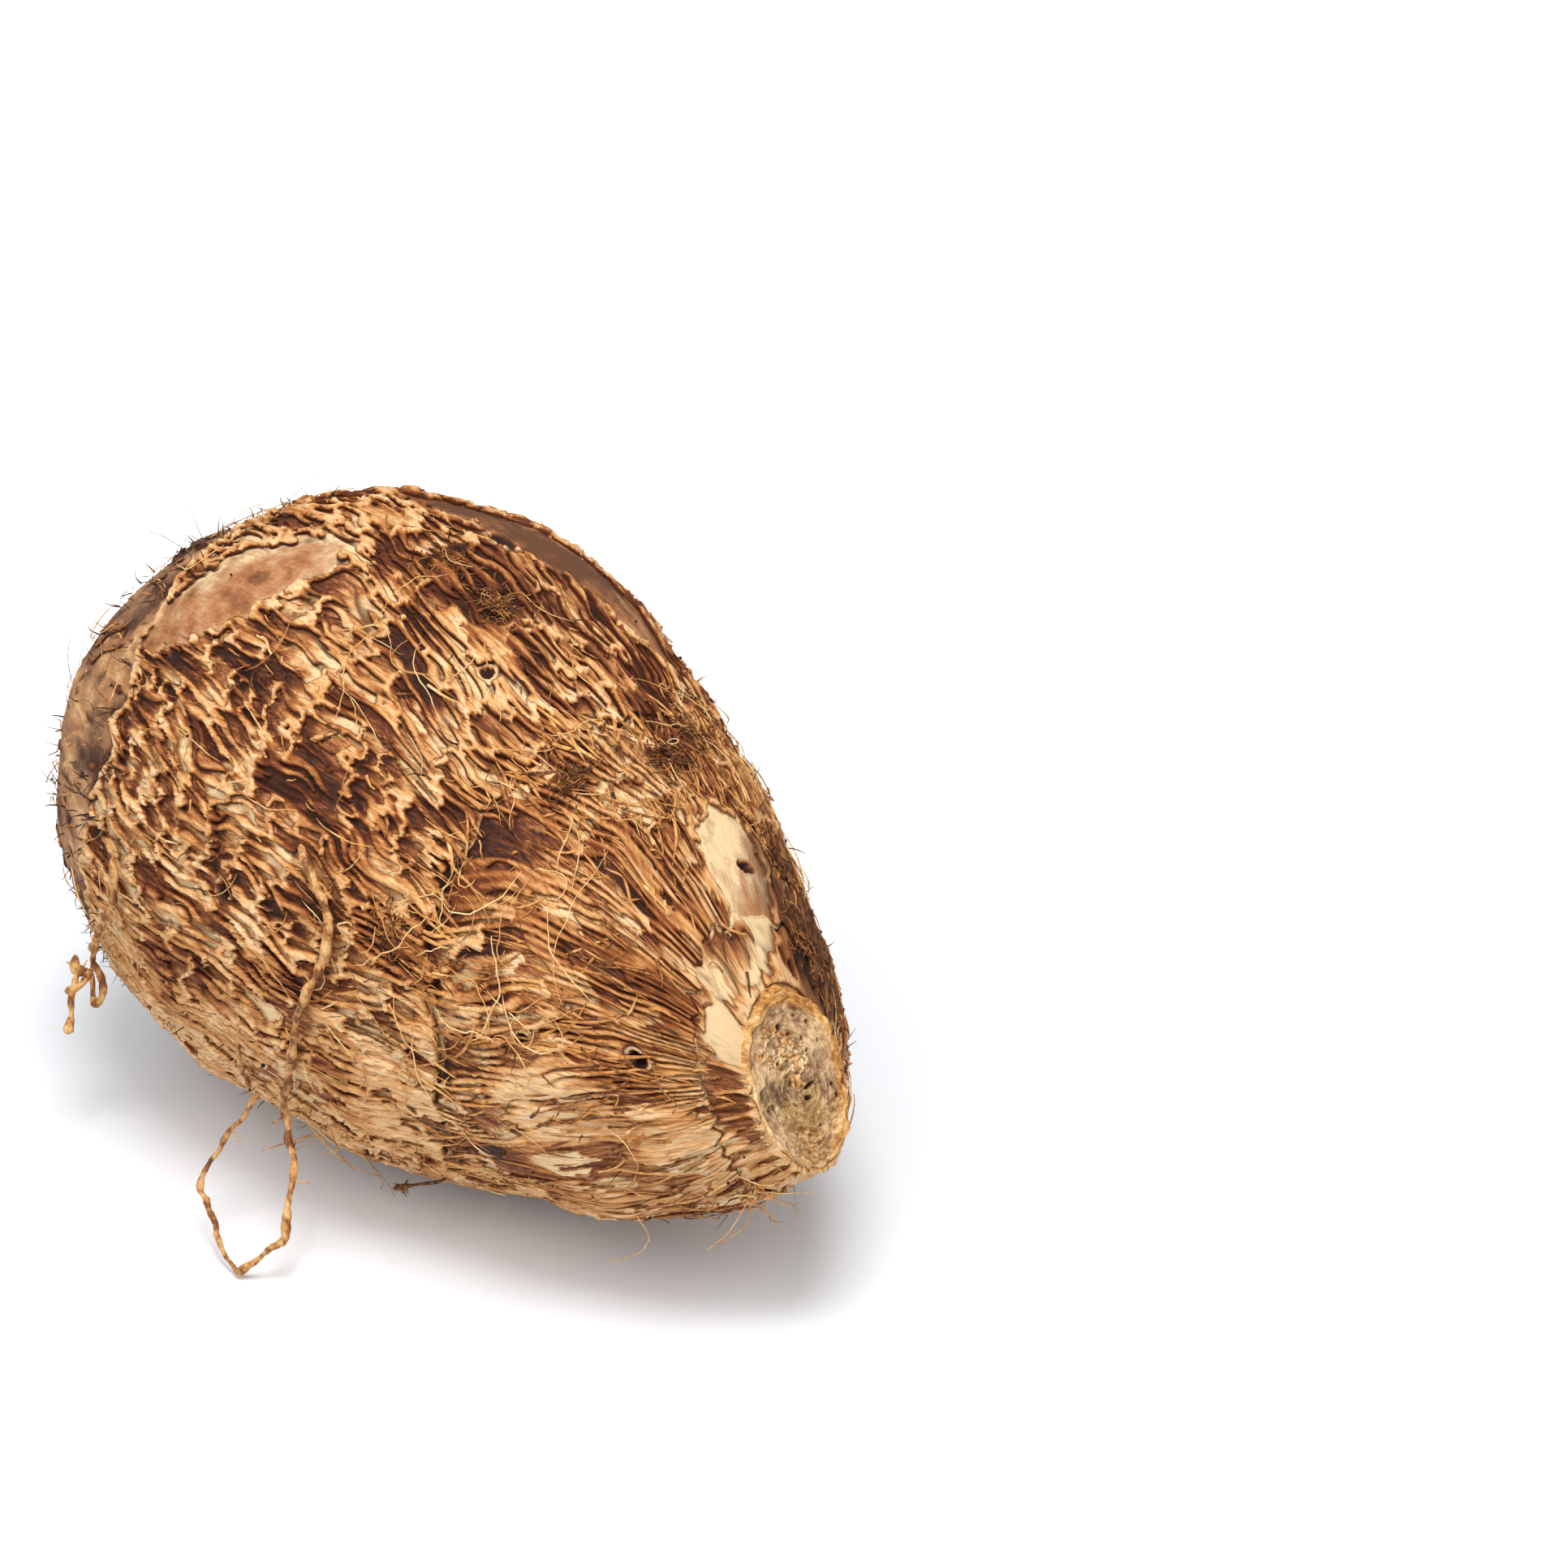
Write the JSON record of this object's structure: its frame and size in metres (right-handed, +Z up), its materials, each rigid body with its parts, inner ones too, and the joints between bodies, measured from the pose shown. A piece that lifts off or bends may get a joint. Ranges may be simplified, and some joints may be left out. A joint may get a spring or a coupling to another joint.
{
  "type": "taro root",
  "caption": "Taro corm lying on its side: an egg-shaped body in fibrous ringed bark, knife-cut at the neck, with dead dry roots hanging from its skin.",
  "frame": {"origin": "the middle of the part's box, on the surface it rests on", "axes": "+X along the corm towards its cut neck, +Z up, the roots on the -Y side"},
  "size_m": [0.1738, 0.1172, 0.1138],
  "materials": {
    "bark": "rough fibrous golden-tan strips over dark brown skin",
    "dry_root": "matt dry fibre",
    "cut_flesh": "dried grey-tan knife-cut flesh with a fibrous golden rim"
  },
  "bodies": {
    "root": {"corm": "bark", "looped_root": "dry_root", "branched_root": "dry_root"}
  },
  "joints": []
}
